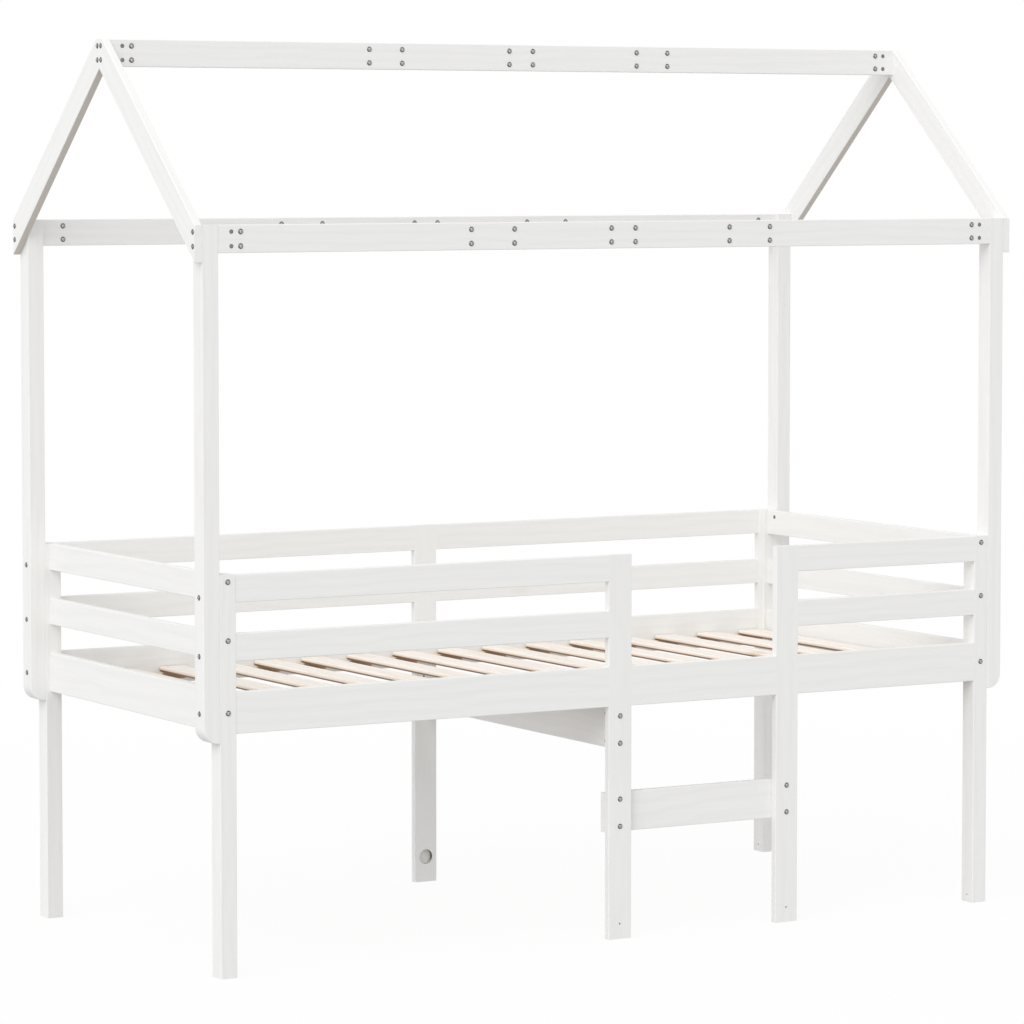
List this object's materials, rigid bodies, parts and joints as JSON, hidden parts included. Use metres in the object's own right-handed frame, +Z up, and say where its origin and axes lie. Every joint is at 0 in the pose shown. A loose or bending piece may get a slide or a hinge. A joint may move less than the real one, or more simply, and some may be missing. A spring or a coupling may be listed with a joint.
{
  "type": "loft bed",
  "caption": "Low children's loft bed of white painted pine with a slatted deck, guard boards, a short ladder and a house-shaped roof frame.",
  "frame": {"origin": "on the floor under the middle of the bed", "axes": "+X along the bed to the right as seen from the ladder side, +Y from the ladder side to the back, +Z up"},
  "size_m": [2.21, 0.98, 2.088],
  "materials": {
    "white_pine": "white glazed pine, satin",
    "slat_pine": "pale pine, thin white glaze",
    "bolt_steel": "zinc plated, hexagon socket"
  },
  "bodies": {
    "root": {"cross_beam": "white_pine", "eave_back_half_left": "white_pine", "eave_back_half_right": "white_pine", "eave_back_third_left": "white_pine", "eave_back_third_middle": "white_pine", "eave_back_third_right": "white_pine", "eave_front_half_left": "white_pine", "eave_front_half_right": "white_pine", "eave_front_third_left": "white_pine", "eave_front_third_middle": "white_pine", "eave_front_third_right": "white_pine", "guard_1_back_left": "white_pine", "guard_1_back_right": "white_pine", "guard_1_end_left": "white_pine", "guard_1_end_right": "white_pine", "guard_1_front_left": "white_pine", "guard_1_front_right": "white_pine", "guard_2_back_left": "white_pine", "guard_2_back_right": "white_pine", "guard_2_end_left": "white_pine", "guard_2_end_right": "white_pine", "guard_2_front_left": "white_pine", "guard_2_front_right": "white_pine", "ladder_bolts": "bolt_steel", "ladder_post_left": "white_pine", "ladder_post_right": "white_pine", "ledger_back_left": "slat_pine", "ledger_back_right": "slat_pine", "ledger_front_left": "slat_pine", "ledger_front_right": "slat_pine", "leg_back_left": "white_pine", "leg_back_right": "white_pine", "leg_bolts": "bolt_steel", "leg_front_left": "white_pine", "leg_front_right": "white_pine", "middle_leg_back": "white_pine", "rafter_left_back": "white_pine", "rafter_left_front": "white_pine", "rafter_right_back": "white_pine", "rafter_right_front": "white_pine", "rail_back_left": "white_pine", "rail_back_right": "white_pine", "rail_end_left": "white_pine", "rail_end_right": "white_pine", "rail_front_left": "white_pine", "rail_front_right": "white_pine", "ridge_half_left": "white_pine", "ridge_half_right": "white_pine", "ridge_third_left": "white_pine", "ridge_third_middle": "white_pine", "ridge_third_right": "white_pine", "roof_bolts": "bolt_steel", "roof_post_back_left": "white_pine", "roof_post_back_right": "white_pine", "roof_post_bolts": "bolt_steel", "roof_post_front_left": "white_pine", "roof_post_front_right": "white_pine", "slats_left": "slat_pine", "slats_right": "slat_pine", "step_board": "white_pine"}
  },
  "joints": []
}
